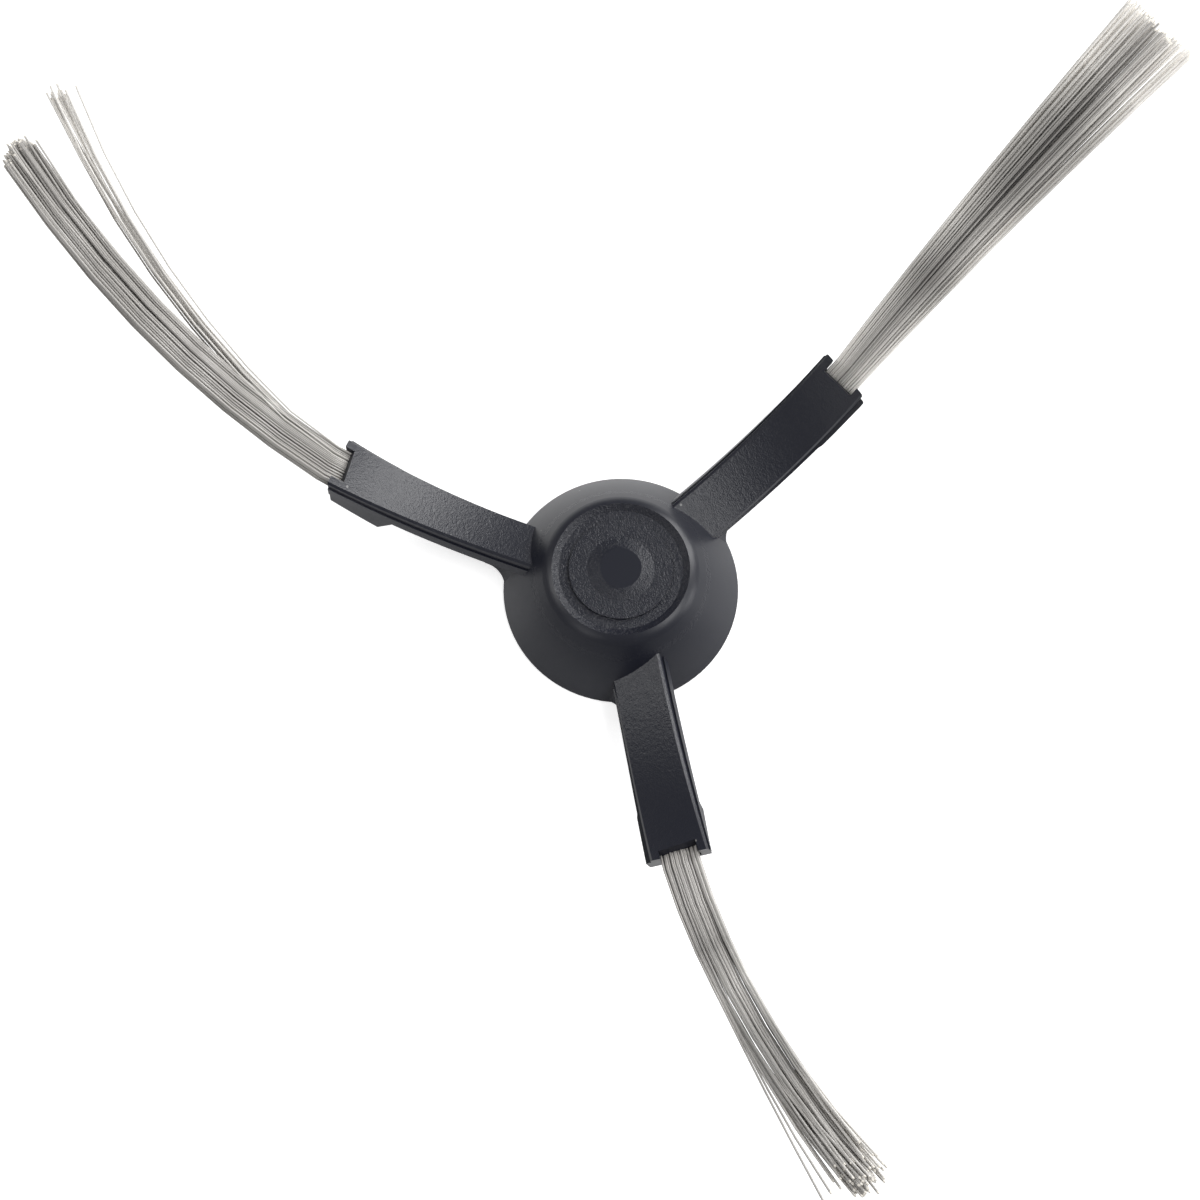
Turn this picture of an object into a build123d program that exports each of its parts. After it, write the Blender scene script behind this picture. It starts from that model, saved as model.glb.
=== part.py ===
"""Robot vacuum side brush: a domed hub with three twisted arms, each holding a tuft of bristles.

The hub axis is Z. The open back of the hub lies on the plane Z = 0 and the dome faces up.
The first arm points along +X. Along an arm, left and right are as seen when facing outwards,
and depths are measured down from the arm's top face. Millimetres and degrees.
"""
from build123d import *

import os
from dataclasses import dataclass
from math import asin, atan2, cos, degrees, radians, sin

# Hub dome
hub_radius = 14.0
shoulder_radius = 9.1
crown_height = 7.9
shoulder_drop = 0.8
dome_bulge = 0.2
hub_wall = 1.6
rim_chamfer = 0.25

# Recess in the crown, with its raised disc and centre nub
lip_radius = 8.0
recess_radius = 7.2
recess_depth = 0.5
disc_radius = 6.0
disc_rise = 0.3
nub_foot_radius = 3.9
nub_top_radius = 2.4
nub_rise = 0.4

# Drive socket and ribs behind the dome
boss_wall = 1.6
boss_setback = 0.4
socket_side = 6.0
socket_depth = 5.6
socket_lead_in = 0.5
rib_count = 6
rib_thickness = 1.2
rib_setback = 2.2

# Arms: a straight root inside the dome, then an arc that rises away from the back plane.
# Each is rolled and bent about the level where its top plate meets its lower layer.
arm_count = 3
arm_root_reach = 8.6
arm_bend_start = 11.0
arm_bend_radius = 39.0
arm_end_reach = 34.4
arm_root_height = 3.5
arm_root_roll = 25.0
arm_tip_roll = 8.0
plate_root_width = 6.3
plate_tip_width = 6.4
plate_thickness = 0.9
plate_chamfer = 0.25
left_ledge = 0.2
right_ledge = 0.45
arm_thickness = 1.9

# Web under the root of each arm, which runs into the rim in a curve on both sides
web_width = 4.8
web_reach = 2.4
web_curve = 3.2
web_inset = 0.15
web_foot = 0.4
web_height = 3.0

# Sleeve at the end of each arm, and the pocket that holds the bristles
sleeve_length = 8.6
sleeve_ramp = 1.6
sleeve_flare = 0.15
sleeve_taper = 0.75
pocket_width = 4.4
pocket_height = 1.9
pocket_depth = 6.6
pocket_floor = 0.4
mouth_notch = 2.0
notch_inset = 0.1

# Bristles, and the bead of fused ends at the bottom of each pocket
bristle_diameter = 0.4
bristle_gap = 0.05
bristle_sides = 5
bristle_spans = 4
tip_unevenness = 1.5
bead_length = 1.6
bead_clearance = 0.1
lock_start = 0.25


@dataclass
class Tuft:
    """How one tuft has set in use, from its sleeve to its tips."""

    length: float
    tip_slope: float
    exit_turn: float
    tip_turn: float
    widening: float
    thickening: float
    lock_share: float = 0.0
    lock_throw: float = 0.0
    lock_reach: float = 0.0


tufts = [
    Tuft(length=46.0, tip_slope=41.0, exit_turn=3.0, tip_turn=26.0, widening=0.1, thickening=0.3),
    Tuft(length=49.5, tip_slope=35.0, exit_turn=2.0, tip_turn=-2.0, widening=1.3, thickening=0.6),
    Tuft(length=48.0, tip_slope=36.0, exit_turn=-5.0, tip_turn=-37.0, widening=0.3, thickening=0.4,
         lock_share=0.3, lock_throw=4.8, lock_reach=0.07),
]

# Sizes that follow from those above
recess_floor = crown_height - recess_depth
disc_top = recess_floor + disc_rise
nub_top = disc_top + nub_rise
shoulder_height = crown_height - shoulder_drop
dome_slant = degrees(atan2(hub_radius - shoulder_radius, shoulder_height - rim_chamfer))
roof = recess_floor - hub_wall
boss_radius = socket_side / 2 * 2 ** 0.5 + boss_wall
arm_root = arm_root_reach - arm_bend_start
arm_length = arm_bend_radius * asin((arm_end_reach + plate_thickness - arm_bend_start) / arm_bend_radius)
sleeve_start = arm_length - sleeve_length
sleeve_thickness = plate_thickness + pocket_height + pocket_floor
pocket_end = arm_length - pocket_depth
bead_end = pocket_end + bead_length
bundle_drop = pocket_height / 2
bristle_pitch = bristle_diameter + bristle_gap
bristle_columns = int((pocket_width - bristle_gap) / bristle_pitch)
bristle_rows = int((pocket_height - bristle_gap) / bristle_pitch)
lock_columns = [round(tuft.lock_share * bristle_columns) for tuft in tufts]
exit_slope = arm_length / arm_bend_radius
overrun = 1.0
bottom_up = (Align.CENTER, Align.CENTER, Align.MIN)


def spread(start, end, count):
    """Evenly spaced values from start to end."""
    return [start + (end - start) * index / (count - 1) for index in range(count)]


def dome():
    """Solid of the dome, with the shoulder, recess, disc and nub of its crown in one profile."""
    wall = SagittaArc((hub_radius, rim_chamfer), (shoulder_radius, shoulder_height), -dome_bulge)
    shoulder = TangentArc((shoulder_radius, shoulder_height), (lip_radius, crown_height), tangent=wall % 1)
    rest = Polyline(
        (lip_radius, crown_height),
        (recess_radius, recess_floor),
        (disc_radius, recess_floor),
        (disc_radius, disc_top),
        (nub_foot_radius, disc_top),
        (nub_top_radius, nub_top),
        (0, nub_top),
        (0, 0),
        (hub_radius - rim_chamfer, 0),
        (hub_radius, rim_chamfer),
    )
    return revolve(Plane.XZ * make_face([wall, shoulder, rest]), Axis.Z)


def cavity():
    """Hollow behind the dome, which leaves an even wall."""
    wall = SagittaArc((hub_radius - hub_wall, 0), (shoulder_radius - hub_wall, roof), -dome_bulge)
    rest = Polyline((shoulder_radius - hub_wall, roof), (0, roof), (0, 0), (hub_radius - hub_wall, 0))
    return revolve(Plane.XZ * make_face([wall, rest]), Axis.Z)


def drive_boss():
    """Boss and radial ribs that fill part of the hollow, before the socket is cut."""
    boss = Pos(0, 0, boss_setback) * Cylinder(boss_radius, recess_floor - boss_setback, align=bottom_up)
    rib = Pos(hub_radius / 2, 0, rib_setback) * Box(hub_radius, rib_thickness, roof - rib_setback + overrun,
                                                    align=bottom_up)
    for index in range(rib_count):
        boss += Rot(0, 0, 360 / rib_count * (index + 0.5)) * rib
    return boss


def drive_socket():
    """Square socket with a lead-in all round its mouth."""
    hole = Pos(0, 0, boss_setback) * Box(socket_side, socket_side, socket_depth, align=bottom_up)
    mouth_side = socket_side + 2 * socket_lead_in
    mouth = Pos(0, 0, boss_setback) * Rectangle(mouth_side, mouth_side)
    return hole + extrude(mouth, socket_lead_in, taper=45)


def arm_plane(distance):
    """Section of an arm at a distance along its bend: X to the left, Y out of the ledges, Z outwards."""
    turn = max(distance, 0) / arm_bend_radius
    along = min(distance, 0) + arm_bend_start + arm_bend_radius * sin(turn)
    height = arm_root_height + arm_bend_radius * (1 - cos(turn))
    share = max(distance, 0) / arm_length
    roll = radians(arm_root_roll + (arm_tip_roll - arm_root_roll) * share ** 2)
    left = (-sin(turn) * sin(roll), cos(roll), cos(turn) * sin(roll))
    return Plane((along, 0, height), x_dir=left, z_dir=(cos(turn), 0, sin(turn)))


def plate_width(distance):
    """Width of the top plate of an arm."""
    return plate_root_width + (plate_tip_width - plate_root_width) * distance / arm_length


def section(distance, width, top, bottom, chamfer_size=0.0, shift=0.0):
    """Cross-section of an arm between two depths, shifted to the left of its middle."""
    outline = Rectangle(width, bottom - top)
    if chamfer_size:
        outline = chamfer(outline.vertices().group_by(Axis.Y)[-1], chamfer_size)
    return arm_plane(distance) * Pos(shift, plate_thickness - (top + bottom) / 2) * outline


def top_plate():
    """Upper layer of an arm, sunk halfway into the layer below it."""
    sunk = (plate_thickness + arm_thickness) / 2
    stations = spread(arm_root, arm_length, 8)
    return loft([section(at, plate_width(at), 0, sunk, plate_chamfer) for at in stations])


def wide_section(distance, left, right, top, bottom):
    """Cross-section that passes the top plate by some width on each side."""
    return section(distance, plate_width(distance) + left + right, top, bottom, shift=(left - right) / 2)


def lower_layer():
    """Lower layer of an arm, wider than the top plate by a ledge on each side."""
    stations = spread(arm_root, arm_length, 8)
    sections = [wide_section(at, left_ledge, right_ledge, plate_thickness, arm_thickness) for at in stations]
    return loft(sections)


def root_web():
    """Web under the root of an arm, with the slant of the dome and ending under the top plate."""
    strip = Pos(hub_radius / 2, 0) * Rectangle(hub_radius + 2 * web_reach, web_width)
    plan = Circle(hub_radius - web_inset) + strip
    plan = fillet(plan.vertices().group_by(Axis.X)[0], web_curve)
    web = extrude(Pos(0, 0, web_foot) * plan, web_height, taper=dome_slant)
    level = arm_plane(hub_radius - arm_bend_start)
    return split(web, Plane(level.origin, z_dir=level.y_dir), Keep.BOTTOM)


def sleeve():
    """Deeper end of an arm, with the ramp that leads into it, and shallower towards its mouth."""
    top = plate_thickness + sleeve_flare
    right = right_ledge + sleeve_flare
    ramp_start = sleeve_start - sleeve_ramp
    ramp_right = right_ledge - sleeve_flare
    ramp_bottom = arm_thickness - sleeve_flare
    ramp = loft([
        wide_section(ramp_start, -sleeve_flare, ramp_right, top, ramp_bottom),
        wide_section(sleeve_start, 0, right, top, sleeve_thickness + sleeve_taper),
    ])
    sections = []
    for at in spread(sleeve_start, arm_length, 4):
        bottom = sleeve_thickness + sleeve_taper * (arm_length - at) / sleeve_length
        sections.append(wide_section(at, 0, right, top, bottom))
    return ramp + loft(sections)


def pocket():
    """Space for the bristles, open at the end of the sleeve and notched at its top."""
    bottom = plate_thickness + pocket_height
    stations = spread(pocket_end, arm_length + overrun, 5)
    space = loft([section(at, pocket_width, plate_thickness, bottom) for at in stations])
    notch_stations = spread(arm_length - mouth_notch, arm_length + overrun, 3)
    notch_width = pocket_width - 2 * notch_inset
    notch = loft([section(at, notch_width, -overrun, plate_thickness + bundle_drop) for at in notch_stations])
    return space + notch


def around(shape):
    """One copy of a shape for each arm."""
    return [Rot(0, 0, 360 / arm_count * index) * shape for index in range(arm_count)]


def hub_moulding():
    """Dome, arms and drive boss as one solid."""
    arm = lower_layer() + top_plate() + sleeve() + root_web()
    arm = split(arm, Plane.YZ.offset(arm_end_reach), Keep.BOTTOM)
    outside = dome()
    body = outside
    for piece in around(arm):
        body += piece
    body -= cavity()
    body += drive_boss() & outside
    for piece in around(pocket()):
        body -= piece
    return body - drive_socket()


def root_bead():
    """Fused ends of a tuft, against the bottom of the pocket."""
    width = pocket_width - 2 * bead_clearance
    top = plate_thickness + bead_clearance
    bottom = plate_thickness + pocket_height - bead_clearance
    return loft([section(at, width, top, bottom) for at in spread(pocket_end, bead_end, 3)])


def heading(tuft, share):
    """Slope and turn of a tuft at a share of its free length, in radians."""
    slope = exit_slope + (radians(tuft.tip_slope) - exit_slope) * share
    turn = radians(tuft.exit_turn + (tuft.tip_turn - tuft.exit_turn) * share)
    return slope, turn


def free_plane(tuft, share):
    """Section of a tuft at a share of its free length, laid out like a section of the arm."""
    steps = 24
    point = (arm_plane(arm_length) * Pos(0, -bundle_drop)).position
    for step in range(steps):
        slope, turn = heading(tuft, share * (step + 0.5) / steps)
        ahead = Vector(cos(slope) * cos(turn), cos(slope) * sin(turn), sin(slope))
        point += ahead * (tuft.length * share / steps)
    slope, turn = heading(tuft, share)
    ahead = Vector(cos(slope) * cos(turn), cos(slope) * sin(turn), sin(slope))
    level = Vector(-sin(turn), cos(turn), 0)
    roll = radians(arm_tip_roll)
    left = level * cos(roll) + ahead.cross(level) * sin(roll)
    return Plane(point, x_dir=left, z_dir=ahead)


def bristle(tuft, column, row, in_lock):
    """One filament from the root bead to its cut end."""
    across = (column - (bristle_columns - 1) / 2) * bristle_pitch
    up = (row - (bristle_rows - 1) / 2) * bristle_pitch
    outline = RegularPolygon(bristle_diameter / 2, bristle_sides)
    sections = [arm_plane(at) * Pos(across, up - bundle_drop) * outline for at in (bead_end, arm_length)]
    trim = tip_unevenness / tuft.length * ((3 * column + 2 * row) % 5) / 4
    reach = 1 + tuft.lock_reach if in_lock else 1
    for share in spread(0, reach - trim, bristle_spans + 1)[1:]:
        aside = across * (1 + tuft.widening * share)
        if in_lock and share > lock_start:
            aside -= tuft.lock_throw * ((share - lock_start) / (1 - lock_start)) ** 1.5
        place = Pos(aside, up * (1 + tuft.thickening * share))
        sections.append(free_plane(tuft, share) * place * outline)
    return loft(sections, ruled=True)


def bristle_tuft(tuft, lock_count):
    """All the filaments of one tuft, each a solid of its own."""
    filaments = []
    for row in range(bristle_rows):
        for column in range(bristle_columns):
            filaments.append(bristle(tuft, column, row, column < lock_count))
    return Compound(filaments)


os.makedirs("parts", exist_ok=True)
export_step(hub_moulding(), "parts/hub_moulding.step")
for number, bead in enumerate(around(root_bead()), start=1):
    export_step(bead, f"parts/root_bead_{number}.step")
for index, tuft in enumerate(tufts):
    placed = Rot(0, 0, 360 / arm_count * index) * bristle_tuft(tuft, lock_columns[index])
    export_step(placed, f"parts/bristle_tuft_{index + 1}.step")
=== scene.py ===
# %% [markdown]
# # A robot vacuum side brush
# This lesson dresses a CAD model of a small sweeping brush: a black moulded hub with three
# rising arms, each ending in a sleeve that grips a tuft of grey nylon filaments.
# The hub stays as the CAD made it and gets a plastic with a moulded grain.
# The tufts are drawn again here, because real ones have many more and finer filaments.

# %% Load the frame
import math
import random
from dataclasses import dataclass

import bmesh
import bpy
from mathutils import Matrix, Vector


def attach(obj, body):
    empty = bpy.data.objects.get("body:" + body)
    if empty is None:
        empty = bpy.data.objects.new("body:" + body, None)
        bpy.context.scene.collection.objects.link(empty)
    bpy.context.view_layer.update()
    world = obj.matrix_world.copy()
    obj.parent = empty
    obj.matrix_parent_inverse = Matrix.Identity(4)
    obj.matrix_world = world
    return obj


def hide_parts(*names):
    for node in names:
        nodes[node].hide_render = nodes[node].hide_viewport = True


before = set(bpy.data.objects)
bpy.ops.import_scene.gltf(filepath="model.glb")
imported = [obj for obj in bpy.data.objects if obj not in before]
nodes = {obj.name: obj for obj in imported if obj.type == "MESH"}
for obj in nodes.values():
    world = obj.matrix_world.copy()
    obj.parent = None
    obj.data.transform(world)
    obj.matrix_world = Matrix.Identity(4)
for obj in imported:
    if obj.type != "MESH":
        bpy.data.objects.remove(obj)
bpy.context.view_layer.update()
print("CAD nodes:", sorted(nodes))

mm = 0.001

# %% [markdown]
# ## Camera
# The brush lies on its back rim and is seen from high above, a little off the vertical.
# A camera is easiest to place by an azimuth, an elevation and a distance from the hub.
# The elevation shows in how far the circle of the rim is squashed, the azimuth in where the
# arms point, and the distance in how much larger the raised ends look than the hub.
# The two shifts slide the picture without turning the camera, so the perspective stays.

# %% Place the camera
camera_azimuth = math.radians(79.3)
camera_elevation = math.radians(72.35)
camera_distance = 214.95 * mm
camera_lens = 54.0
camera_sensor = 36.0
picture_shift = (-0.01733, -0.00917)
nearest_seen = 10.0 * mm
hub_centre = Vector((0.0, 0.0, 0.0))

to_the_right = Vector((math.cos(camera_azimuth), math.sin(camera_azimuth), 0.0))
to_the_back = Vector((-math.sin(camera_azimuth), math.cos(camera_azimuth), 0.0))
upwards = Vector((0.0, 0.0, 1.0))


def aim(thing, target):
    """Turn a camera or a lamp so that it looks at the target."""
    thing.rotation_euler = (target - thing.location).to_track_quat("-Z", "Y").to_euler()


def add_camera():
    """The camera, in front of the hub and high above it."""
    lens = bpy.data.cameras.new("camera")
    lens.lens = camera_lens
    lens.sensor_width = camera_sensor
    lens.shift_x, lens.shift_y = picture_shift
    lens.clip_start = nearest_seen
    camera = bpy.data.objects.new("camera", lens)
    height = camera_distance * math.sin(camera_elevation)
    setback = camera_distance * math.cos(camera_elevation)
    camera.location = height * upwards - setback * to_the_back
    aim(camera, hub_centre)
    bpy.context.collection.objects.link(camera)
    return camera


bpy.context.scene.camera = add_camera()
bpy.context.scene.view_settings.view_transform = "Standard"
print("camera at", [round(v, 4) for v in bpy.context.scene.camera.location])

# %% [markdown]
# ## White paper
# A sheet of paper carries the brush and its shadow.
# It glows a little where the camera or a reflection looks at it, so it stays white
# without any extra light falling on the brush.
# The sheet is small and its mirror image fades towards the front, where a room is darker,
# because the near side of the dome mirrors that part and would turn grey.

# %% Node helpers


def new_material(name):
    """A node material with its node tree and its shader."""
    material = bpy.data.materials.new(name)
    material.use_nodes = True
    return material, material.node_tree, material.node_tree.nodes["Principled BSDF"]


def maths(tree, operation, first, second=0.0):
    """One sum in a node tree, where each side is a socket or a number."""
    node = tree.nodes.new("ShaderNodeMath")
    node.operation = operation
    for place, value in enumerate((first, second)):
        if isinstance(value, float):
            node.inputs[place].default_value = value
        else:
            tree.links.new(value, node.inputs[place])
    return node.outputs["Value"]


def ramp(tree, value, start, end):
    """Rise smoothly from nought to one between two values."""
    node = tree.nodes.new("ShaderNodeMapRange")
    node.interpolation_type = "SMOOTHSTEP"
    node.inputs["From Min"].default_value = start
    node.inputs["From Max"].default_value = end
    tree.links.new(value, node.inputs["Value"])
    return node.outputs["Result"]


def along_direction(tree, place, direction):
    """How far a place lies in a direction."""
    node = tree.nodes.new("ShaderNodeVectorMath")
    node.operation = "DOT_PRODUCT"
    node.inputs[1].default_value = direction
    tree.links.new(place, node.inputs[0])
    return node.outputs["Value"]


# %% Floor
paper_half_width = 0.11
paper_colour = (0.8, 0.8, 0.8, 1.0)
paper_glow = 0.62
mirrored_share = 0.5
fade_start = -12.0 * mm
fade_end = -2.0 * mm
white = (1.0, 1.0, 1.0, 1.0)


def paper_material():
    """Matt white paper that glows for the camera, and more faintly in reflections."""
    material, tree, shader = new_material("white_paper")
    shader.inputs["Base Color"].default_value = paper_colour
    shader.inputs["Roughness"].default_value = 1.0
    shader.inputs["Specular IOR Level"].default_value = 0.0
    shader.inputs["Emission Color"].default_value = white
    path = tree.nodes.new("ShaderNodeLightPath")
    place = tree.nodes.new("ShaderNodeTexCoord").outputs["Object"]
    fade = ramp(tree, along_direction(tree, place, to_the_back), fade_start, fade_end)
    dimmed = maths(tree, "MULTIPLY", fade, mirrored_share)
    mirrored = maths(tree, "MULTIPLY", path.outputs["Is Glossy Ray"], dimmed)
    seen = maths(tree, "MAXIMUM", path.outputs["Is Camera Ray"], mirrored)
    tree.links.new(maths(tree, "MULTIPLY", seen, paper_glow), shader.inputs["Emission Strength"])
    return material


def add_piece(name, shape, material):
    """Turn a finished bmesh into an object in the scene."""
    mesh = bpy.data.meshes.new(name)
    shape.to_mesh(mesh)
    shape.free()
    mesh.materials.append(material)
    piece = bpy.data.objects.new(name, mesh)
    bpy.context.collection.objects.link(piece)
    return piece


sheet = bmesh.new()
bmesh.ops.create_grid(sheet, x_segments=1, y_segments=1, size=paper_half_width)
add_piece("floor", sheet, paper_material())
print("half width of the floor:", paper_half_width, "m")

# %% [markdown]
# ## Light
# A black part is drawn by what it mirrors, so the lamps are placed by their reflections.
# The large one stands low at the back right and lights the top of the left arm.
# Weaker ones on the right and on the left lift the roots of the other arms, a high one sparkles
# in the grain of the crown, and a faint one at the front left shows in the end of the right arm.
# The last one, low on the right, draws the light band along the dome's shoulder.
# The rest of the front stays dark, which leaves the near side of the dome almost black.
# The world is dim for everything except the camera, which sees it white.

# %% Lamps
lamp_distance = 0.6


@dataclass
class Lamp:
    """A round soft lamp: compass degrees from the back towards the right, tilt from overhead."""

    name: str
    compass: float
    tilt: float
    size: float
    watts: float


lamps = [
    Lamp("back_lamp", compass=48.0, tilt=64.0, size=0.4, watts=2.9),
    Lamp("right_lamp", compass=114.0, tilt=42.0, size=0.26, watts=1.0),
    Lamp("left_lamp", compass=-82.0, tilt=48.0, size=0.26, watts=0.72),
    Lamp("high_lamp", compass=75.0, tilt=30.0, size=0.22, watts=0.5),
    Lamp("front_lamp", compass=-140.0, tilt=54.0, size=0.24, watts=0.24),
    Lamp("side_lamp", compass=96.0, tilt=74.0, size=0.22, watts=0.6),
]


def lamp_place(lamp):
    """Where a lamp stands on a half globe over the hub."""
    compass = math.radians(lamp.compass)
    tilt = math.radians(lamp.tilt)
    level = math.cos(compass) * to_the_back + math.sin(compass) * to_the_right
    return lamp_distance * (math.cos(tilt) * upwards + math.sin(tilt) * level)


def add_lamp(lamp):
    """Hang one lamp so that it looks at the hub."""
    light = bpy.data.lights.new(lamp.name, "AREA")
    light.shape = "DISK"
    light.size = lamp.size
    light.energy = lamp.watts
    holder = bpy.data.objects.new(lamp.name, light)
    holder.location = lamp_place(lamp)
    aim(holder, hub_centre)
    bpy.context.collection.objects.link(holder)


for lamp in lamps:
    add_lamp(lamp)
print("lamps:", [lamp.name for lamp in lamps])

# %% World
world_strength = 0.27
world = bpy.data.worlds.new("studio")
world.use_nodes = True
backdrop = world.node_tree.nodes["Background"]
backdrop.inputs["Color"].default_value = white
world_path = world.node_tree.nodes.new("ShaderNodeLightPath")
extra = maths(world.node_tree, "MULTIPLY", world_path.outputs["Is Camera Ray"], 1.0 - world_strength)
strength = maths(world.node_tree, "ADD", extra, world_strength)
world.node_tree.links.new(strength, backdrop.inputs["Strength"])
bpy.context.scene.world = world
print("world strength on the brush:", world_strength)

# %% [markdown]
# ## Moulded plastic
# The hub is near-black plastic. Its dome and walls are smooth and satin, while the arm tops
# and the recess of the crown carry the fine grain of a spark-eroded mould.
# A mask made from the distance to the axis and from which way a face looks keeps the grain
# in those places, so one material serves the whole moulding.
# The dome narrows as it rises, so whatever lies outside a cone round it belongs to an arm.

# %% Where the moulding is grained
recess_edge = 8.0 * mm
recess_bottom = 7.3 * mm
nub_smooth_edge = 2.0 * mm
nub_grain_edge = 3.0 * mm
dome_foot = 14.3 * mm
dome_lean = 0.715
top_facing = 0.62
arm_grain = 0.4


def split_vector(tree, socket):
    """The X, Y and Z of a vector."""
    node = tree.nodes.new("ShaderNodeSeparateXYZ")
    tree.links.new(socket, node.inputs["Vector"])
    return node.outputs["X"], node.outputs["Y"], node.outputs["Z"]


def grain_mask(tree, place):
    """One inside the crown's recess but for its nub, less on the arm tops, nought elsewhere."""
    x, y, z = split_vector(tree, place)
    squares = maths(tree, "ADD", maths(tree, "MULTIPLY", x, x), maths(tree, "MULTIPLY", y, y))
    radius = maths(tree, "SQRT", squares)
    off_nub = ramp(tree, radius, nub_smooth_edge, nub_grain_edge)
    inside = maths(tree, "MULTIPLY", off_nub, maths(tree, "LESS_THAN", radius, recess_edge))
    crown = maths(tree, "MULTIPLY", inside, maths(tree, "GREATER_THAN", z, recess_bottom))
    dome_radius = maths(tree, "SUBTRACT", dome_foot, maths(tree, "MULTIPLY", z, dome_lean))
    off_dome = maths(tree, "GREATER_THAN", radius, dome_radius)
    geometry = tree.nodes.new("ShaderNodeNewGeometry")
    facing = split_vector(tree, geometry.outputs["Normal"])[2]
    arm = maths(tree, "MULTIPLY", off_dome, maths(tree, "GREATER_THAN", facing, top_facing))
    return maths(tree, "MAXIMUM", crown, maths(tree, "MULTIPLY", arm, arm_grain))


# %% [markdown]
# ## The hub's material
# Two sizes of noise make the grain: a coarse one for the blotches and a fine one for sparkle.
# Dust shows on black plastic, so a few pale specks sit in the cells of a Voronoi pattern,
# only where the cell's own random colour is high.

# %% Pattern helpers


def noise(tree, place, scale, detail):
    """A noise texture's value at a place."""
    node = tree.nodes.new("ShaderNodeTexNoise")
    node.inputs["Scale"].default_value = scale
    node.inputs["Detail"].default_value = detail
    tree.links.new(place, node.inputs["Vector"])
    return node.outputs["Fac"]


def mix_colour(tree, share, first, second):
    """A colour between two, each a socket or four numbers."""
    node = tree.nodes.new("ShaderNodeMix")
    node.data_type = "RGBA"
    tree.links.new(share, node.inputs["Factor"])
    for name, value in (("A", first), ("B", second)):
        socket = [one for one in node.inputs if one.name == name and one.type == "RGBA"][0]
        if isinstance(value, tuple):
            socket.default_value = value
        else:
            tree.links.new(value, socket)
    return [one for one in node.outputs if one.type == "RGBA"][0]


# %% Dust
dust_cells = 420.0
dust_size = 0.07
dust_rarity = 0.75


def dust(tree, place):
    """One on a few small specks."""
    cells = tree.nodes.new("ShaderNodeTexVoronoi")
    cells.inputs["Scale"].default_value = dust_cells
    tree.links.new(place, cells.inputs["Vector"])
    near = maths(tree, "LESS_THAN", cells.outputs["Distance"], dust_size)
    chosen = split_vector(tree, cells.outputs["Color"])[0]
    return maths(tree, "MULTIPLY", near, maths(tree, "GREATER_THAN", chosen, dust_rarity))


# %% Hub material
hub_colour = (0.0085, 0.0098, 0.0175, 1.0)
dust_colour = (0.16, 0.16, 0.16, 1.0)
smooth_roughness = 0.36
grain_roughness = 0.3
coarse_scale = 2200.0
coarse_detail = 3.0
fine_scale = 6000.0
fine_detail = 2.0
grain_height = 0.11 * mm


def hub_material():
    """Satin black plastic with grained places and a little dust."""
    material, tree, shader = new_material("hub_plastic")
    place = tree.nodes.new("ShaderNodeTexCoord").outputs["Object"]
    mask = grain_mask(tree, place)
    coarse = noise(tree, place, coarse_scale, coarse_detail)
    fine = noise(tree, place, fine_scale, fine_detail)
    bump = tree.nodes.new("ShaderNodeBump")
    bump.inputs["Distance"].default_value = grain_height
    tree.links.new(mask, bump.inputs["Strength"])
    tree.links.new(maths(tree, "ADD", coarse, fine), bump.inputs["Height"])
    tree.links.new(bump.outputs["Normal"], shader.inputs["Normal"])
    change = maths(tree, "MULTIPLY", mask, grain_roughness - smooth_roughness)
    tree.links.new(maths(tree, "ADD", change, smooth_roughness), shader.inputs["Roughness"])
    colour = mix_colour(tree, dust(tree, place), hub_colour, dust_colour)
    tree.links.new(colour, shader.inputs["Base Color"])
    return material


def dress(node, material):
    """Give a CAD node one material."""
    node.data.materials.clear()
    node.data.materials.append(material)


dress(nodes["hub_moulding"], hub_material())
print("hub moulding dressed")

# %% [markdown]
# ## Where the bundle leaves its sleeve
# Each arm rises from the dome along an arc, and its sleeve ends on that arc.
# The same few sizes as in the CAD, here in millimetres, give the place and the direction of
# the bundle in the first arm's sleeve, so the new filaments sit in the real pocket.

# %% Bundle in the sleeve
arm_bend_start = 11.0
arm_bend_radius = 39.0
arm_length = 26.235
arm_root_height = 3.5
sleeve_roll = math.radians(8.0)
bundle_drop = 0.95
exit_slope = arm_length / arm_bend_radius


@dataclass
class Station:
    """A place on a path, with the directions ahead, to the left and above."""

    point: Vector
    ahead: Vector
    left: Vector
    above: Vector


def station_facing(point, slope, turn):
    """A station that climbs at a slope and is turned to the left."""
    ahead = Vector((math.cos(slope) * math.cos(turn), math.cos(slope) * math.sin(turn), math.sin(slope)))
    level = Vector((-math.sin(turn), math.cos(turn), 0.0))
    left = math.cos(sleeve_roll) * level + math.sin(sleeve_roll) * ahead.cross(level)
    return Station(point, ahead, left, ahead.cross(left))


def sleeve_station(distance):
    """The middle of the bundle at a distance along the first arm."""
    bend = distance / arm_bend_radius
    along = arm_bend_start + arm_bend_radius * math.sin(bend)
    height = arm_root_height + arm_bend_radius * (1.0 - math.cos(bend))
    station = station_facing(Vector((along, 0.0, height)), bend, 0.0)
    station.point = station.point - bundle_drop * station.above
    return station


print("bundle leaves the first sleeve at", [round(v, 2) for v in sleeve_station(arm_length).point], "mm")

# %% [markdown]
# ## Three tufts
# In use each tuft has set in a curve of its own: the first bends to the left and ends in a
# tangle, the second has fanned out, and the third bends to the right with a lock of strands
# that stands away at its side.
# A tuft is described by its length, the slope and turn at its two ends, how it spreads,
# and how its strands gather into wisps. Wisps leave gaps, which show as dark streaks.

# %% Tufts


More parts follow.
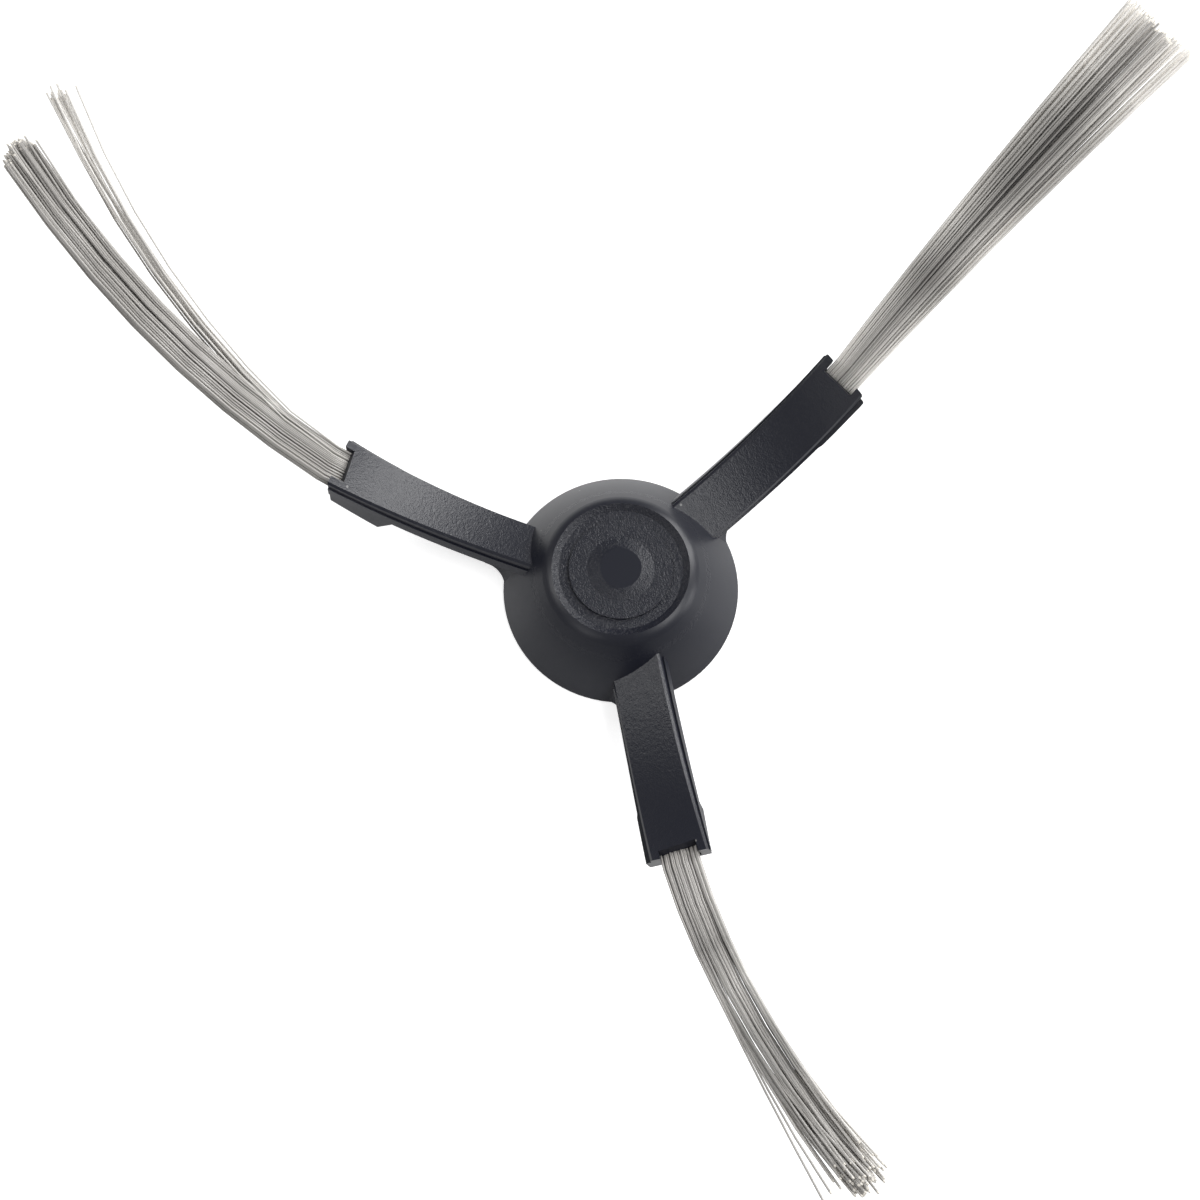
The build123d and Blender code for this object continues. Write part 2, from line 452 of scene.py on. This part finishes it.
@dataclass
class Tuft:
    """How one tuft has set in use, with lengths in millimetres and angles in degrees."""

    length: float
    tip_slope: float
    exit_turn: float
    tip_turn: float
    widening: float
    thickening: float
    wisps: int
    wisp_pull: float
    unevenness: float
    rounding: float
    curl: float
    # Painted light: this number lightens or darkens a whole tuft to make up for how the lamps fall on it.
    painted_light: float
    # Painted light: the sides of a tuft are painted paler, where light shines through fewer strands.
    side_painted_light: float
    lock_share: float = 0.0
    lock_throw: float = 0.0
    lock_reach: float = 0.0
    strays: tuple = ()


# Each tuft's two numbers of painted light even out how the lamps fall on the three tufts and lift their
# sides.
tufts = [
    Tuft(length=46.0, tip_slope=41.0, exit_turn=3.0, tip_turn=26.0, widening=-0.2, thickening=0.3,
         wisps=5, wisp_pull=0.3, unevenness=3.4, rounding=0.6, curl=0.6,
         painted_light=0.9, side_painted_light=0.3, strays=(-2.4, -2.1, -1.5, 0.8)),
    Tuft(length=49.5, tip_slope=35.0, exit_turn=2.0, tip_turn=-2.0, widening=1.3, thickening=0.6,
         wisps=9, wisp_pull=0.12, unevenness=0.8, rounding=0.0, curl=0.1,
         painted_light=1.4, side_painted_light=0.7),
    Tuft(length=48.0, tip_slope=36.0, exit_turn=-5.0, tip_turn=-37.0, widening=0.05, thickening=0.4,
         wisps=5, wisp_pull=0.25, unevenness=1.2, rounding=1.2, curl=0.3,
         painted_light=0.65, side_painted_light=0.3, lock_share=0.5, lock_throw=4.7, lock_reach=0.07),
]
print("tuft lengths in mm:", [tuft.length for tuft in tufts])

# %% [markdown]
# ## The middle of a tuft
# The slope and the turn change evenly from the sleeve to the tip, so short steps along them
# draw a smooth bend. A few spare steps past the tip leave room for the longest strands.

# %% Middle line
path_steps = 24
spare_steps = 6


def middle_line(tuft):
    """Stations along the middle of a tuft, from its sleeve past its tip."""
    point = sleeve_station(arm_length).point
    line = []
    for number in range(path_steps + spare_steps):
        share = number / path_steps
        slope = exit_slope + (math.radians(tuft.tip_slope) - exit_slope) * share
        turn = math.radians(tuft.exit_turn + (tuft.tip_turn - tuft.exit_turn) * share)
        station = station_facing(point, slope, turn)
        line.append(station)
        point = point + station.ahead * tuft.length / path_steps
    return line


def station_at(line, share):
    """The station at a share of the free length, between the two nearest ones."""
    before = int(share * path_steps)
    rest = share * path_steps - before
    low, high = line[before], line[before + 1]
    return Station(
        low.point.lerp(high.point, rest),
        low.ahead.lerp(high.ahead, rest),
        low.left.lerp(high.left, rest),
        low.above.lerp(high.above, rest),
    )


# %% [markdown]
# ## One filament
# A straight filament is drawn once: a small polygon, extruded span by span.
# Each vertex remembers the ring it belongs to, so that a copy can be bent ring by ring.

# %% Template filament
filament_radius = 0.12
filament_sides = 5
filament_spans = 9


def filament_template():
    """A straight filament along Z, closed at both ends."""
    strand = bmesh.new()
    ring_number = strand.verts.layers.int.new("ring")
    made = bmesh.ops.create_circle(strand, cap_ends=True, segments=filament_sides, radius=filament_radius)
    end = made["verts"][0].link_faces[0]
    for number in range(1, filament_spans + 1):
        grown = bmesh.ops.extrude_face_region(strand, geom=[end])["geom"]
        ring = [item for item in grown if isinstance(item, bmesh.types.BMVert)]
        end = [item for item in grown if isinstance(item, bmesh.types.BMFace)][0]
        bmesh.ops.translate(strand, verts=ring, vec=upwards)
        for vert in ring:
            vert[ring_number] = number
    bmesh.ops.recalc_face_normals(strand, faces=strand.faces[:])
    return strand


template = filament_template()
print("template filament:", len(template.faces), "faces")

# %% [markdown]
# ## Paths of the strands
# At the sleeve the strands fill the pocket in columns and rows. Further out each one is drawn
# towards the nearest wisp, drifts with it, sways a little of its own accord, and curls at its end.
# A strand of the side lock leans away from the rest, and a stray leaves its tuft altogether.
# The first span lies in the sleeve, and the last one is short, so that a cut end can be coloured.

# %% Strand sizes
bundle_width = 3.9
bundle_height = 1.65
strand_columns = 17
strand_rows = 8
rooted_length = 4.0
cut_length = 0.5
end_spans = 2
gathered_by = 0.5
place_scatter = 0.1
wisp_drift = 0.2
drift_bend = 2
strand_sway = 0.2
curl_bend = 6.0
lock_columns = 0.3
lock_spread = 1.0
lock_start = 0.12
lock_bend = 1.05
# Painted light: the thin side lock is painted paler, as light shines through it.
lock_painted_lift = 2.6
stray_start = 0.4
stray_bend = 1.6
chance_seed = 11
random.seed(chance_seed)
print("strands in a tuft:", strand_columns * strand_rows)

# %% Strand paths


def scatter(size):
    """A random number up to a size, either way."""
    return random.uniform(-size, size)


@dataclass
class Wisp:
    """A few strands that cling together."""

    across: float
    drift: float
    heave: float
    shade: float


@dataclass
class Strand:
    """Where one strand sits in its bundle and how it leaves it."""

    across: float
    above: float
    wisp: Wisp
    reach: float
    shade: float
    sway: float
    curl: tuple
    throw: float = 0.0
    throw_start: float = lock_start
    throw_bend: float = lock_bend


def strand_path(tuft, line, strand):
    """Stations of the rings of one strand."""
    rooted = sleeve_station(arm_length - rooted_length)
    rooted.point = rooted.point + strand.across * rooted.left + strand.above * rooted.above
    path = [rooted]
    free_spans = filament_spans - end_spans
    shares = [strand.reach * number / free_spans for number in range(free_spans + 1)]
    shares.append(strand.reach + cut_length / tuft.length)
    for share in shares:
        station = station_at(line, share)
        drifted = share ** drift_bend
        curled = share ** curl_bend
        pull = tuft.wisp_pull * min(share / gathered_by, 1.0)
        gathered = strand.across + (strand.wisp.across - strand.across) * pull
        aside = gathered * (1.0 + tuft.widening * share)
        aside += (strand.wisp.drift + strand.sway) * drifted + strand.curl[0] * curled
        lift = strand.above * (1.0 + tuft.thickening * share)
        lift += strand.wisp.heave * drifted + strand.curl[1] * curled
        if share > strand.throw_start:
            thrown = (share - strand.throw_start) / (1.0 - strand.throw_start)
            aside += strand.throw * thrown ** strand.throw_bend
        station.point = station.point + aside * station.left + lift * station.above
        path.append(station)
    return path


# %% Strands of a tuft


def new_wisp():
    """A wisp somewhere across a bundle."""
    return Wisp(scatter(bundle_width / 2), scatter(wisp_drift), scatter(wisp_drift), random.random())


def strand_shade(tuft, wisp, side):
    """How pale a strand is: random tone by its wisp and by chance, then painted light that lifts the
    sides of the tuft and sets the whole tuft lighter or darker for its lamps.
    """
    by_chance = (1.0 - tuft.side_painted_light) * (wisp.shade + random.random()) / 2.0
    return tuft.painted_light * (by_chance + tuft.side_painted_light * side)


def tuft_strands(tuft):
    """All the strands of a tuft."""
    strands = []
    wisps = [new_wisp() for number in range(tuft.wisps)]
    for column in range(strand_columns):
        for row in range(strand_rows):
            place = column / (strand_columns - 1)
            across = (place - 0.5) * bundle_width + scatter(place_scatter)
            above = (row / (strand_rows - 1) - 0.5) * bundle_height + scatter(place_scatter)
            wisp = min(wisps, key=lambda one: abs(one.across - across + scatter(wisp_drift)))
            in_lock = place < lock_columns and random.random() < tuft.lock_share
            if in_lock:
                # A lock strand takes the painted light of the thin lock.
                wisp = Wisp(across, drift=0.0, heave=0.0, shade=lock_painted_lift)
            side = abs(2.0 * across / bundle_width)
            trim = random.random() * tuft.unevenness + tuft.rounding * side ** 2
            strands.append(Strand(
                across, above, wisp,
                reach=1.0 - trim / tuft.length + in_lock * tuft.lock_reach,
                shade=strand_shade(tuft, wisp, side),
                sway=scatter(lock_spread if in_lock else strand_sway),
                curl=(scatter(tuft.curl), scatter(tuft.curl)),
                throw=-in_lock * tuft.lock_throw,
            ))
    for number, throw in enumerate(tuft.strays):
        stray = strands[number * strand_rows + strand_rows - 1]
        stray.throw = throw
        stray.throw_start = stray_start
        stray.throw_bend = stray_bend
    return strands


# %% [markdown]
# ## Nylon
# The filaments are pale, slightly warm nylon. Each strand carries a shade of its own, part random tone
# and part painted light, and each ring its place along the strand, both kept as attributes that the
# material reads.
# A strand is darkened by painted shade where it leaves the sleeve among its neighbours, and this painted
# shade lifts towards its tip.
# Cut ends are paler than the rest.

# %% Nylon material
# Each strand's colour lies between these two by its shade, which holds random tone and painted light.
dark_nylon = (0.29, 0.278, 0.265, 1.0)
pale_nylon = (0.84, 0.815, 0.775, 1.0)
cut_nylon = (0.86, 0.82, 0.75, 1.0)
nylon_roughness = 0.24
# Painted shade along a strand: darkened at the sleeve, lightened towards the tip.
root_painted_shade = 0.65
tip_painted_lift = 0.55
cut_start = 0.96


def attribute(tree, name):
    """A number stored on the mesh."""
    node = tree.nodes.new("ShaderNodeAttribute")
    node.attribute_name = name
    return node.outputs["Fac"]


def nylon_material():
    """Glossy nylon filament, its colour lightened and darkened by painted light and painted shade."""
    material, tree, shader = new_material("bristle_nylon")
    along = attribute(tree, "along")
    # Painted shade that is deepest at the sleeve and lifts towards the tip.
    paler = maths(tree, "ADD", maths(tree, "MULTIPLY", along, tip_painted_lift), root_painted_shade)
    shade = maths(tree, "MULTIPLY", attribute(tree, "shade"), paler)
    body = mix_colour(tree, shade, dark_nylon, pale_nylon)
    cut = maths(tree, "GREATER_THAN", along, cut_start)
    tree.links.new(mix_colour(tree, cut, body, cut_nylon), shader.inputs["Base Color"])
    shader.inputs["Roughness"].default_value = nylon_roughness
    return material


nylon = nylon_material()
print("nylon made with", len(nylon.node_tree.nodes), "nodes")

# %% [markdown]
# ## Building the tufts
# Every strand is a copy of the template, bent ring by ring along its path and joined to its tuft.
# A tuft is built on the first arm, then turned about the hub to its own arm.

# %% Build the tufts
arm_turn = math.radians(360.0 / len(tufts))


def bent_strand(path, shade):
    """A copy of the template along a path, with its shade and the place of each ring."""
    shape = template.copy()
    ring_number = shape.verts.layers.int["ring"]
    shade_layer = shape.verts.layers.float.new("shade")
    along_layer = shape.verts.layers.float.new("along")
    for vert in shape.verts:
        station = path[vert[ring_number]]
        vert[shade_layer] = shade
        vert[along_layer] = vert[ring_number] / filament_spans
        vert.co = (station.point + vert.co.x * station.left + vert.co.y * station.above) * mm
    return shape


def add_tuft(number, tuft):
    """One tuft as a single piece."""
    line = middle_line(tuft)
    bundle = bmesh.new()
    holder = bpy.data.meshes.new("strand")
    for strand in tuft_strands(tuft):
        shape = bent_strand(strand_path(tuft, line, strand), strand.shade)
        shape.to_mesh(holder)
        shape.free()
        bundle.from_mesh(holder)
    bpy.data.meshes.remove(holder)
    turn = Matrix.Rotation(arm_turn * (number - 1), 4, "Z")
    bmesh.ops.transform(bundle, matrix=turn, verts=bundle.verts[:])
    bmesh.ops.recalc_face_normals(bundle, faces=bundle.faces[:])
    for face in bundle.faces:
        face.smooth = True
    piece = add_piece(f"filaments_{number}", bundle, nylon)
    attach(piece, "root")
    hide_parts(f"bristle_tuft_{number}")
    print(piece.name, len(piece.data.polygons), "faces")


for number, tuft in enumerate(tufts, start=1):
    add_tuft(number, tuft)

# %% [markdown]
# ## Root beads
# At the bottom of each pocket the filaments are fused into a bead of the same nylon.
# Melted nylon is cloudy, so a slow noise varies its colour.

# %% Bead material
bead_dark = (0.32, 0.31, 0.29, 1.0)
bead_pale = (0.48, 0.47, 0.44, 1.0)
cloud_scale = 900.0
cloud_detail = 2.0


def bead_material():
    """Cloudy fused nylon."""
    material, tree, shader = new_material("bead_nylon")
    place = tree.nodes.new("ShaderNodeTexCoord").outputs["Object"]
    clouds = noise(tree, place, cloud_scale, cloud_detail)
    tree.links.new(mix_colour(tree, clouds, bead_dark, bead_pale), shader.inputs["Base Color"])
    shader.inputs["Roughness"].default_value = nylon_roughness
    return material


bead_nylon = bead_material()
beads = [name for name in nodes if name.startswith("root_bead")]
for name in beads:
    dress(nodes[name], bead_nylon)
print("dressed:", beads)
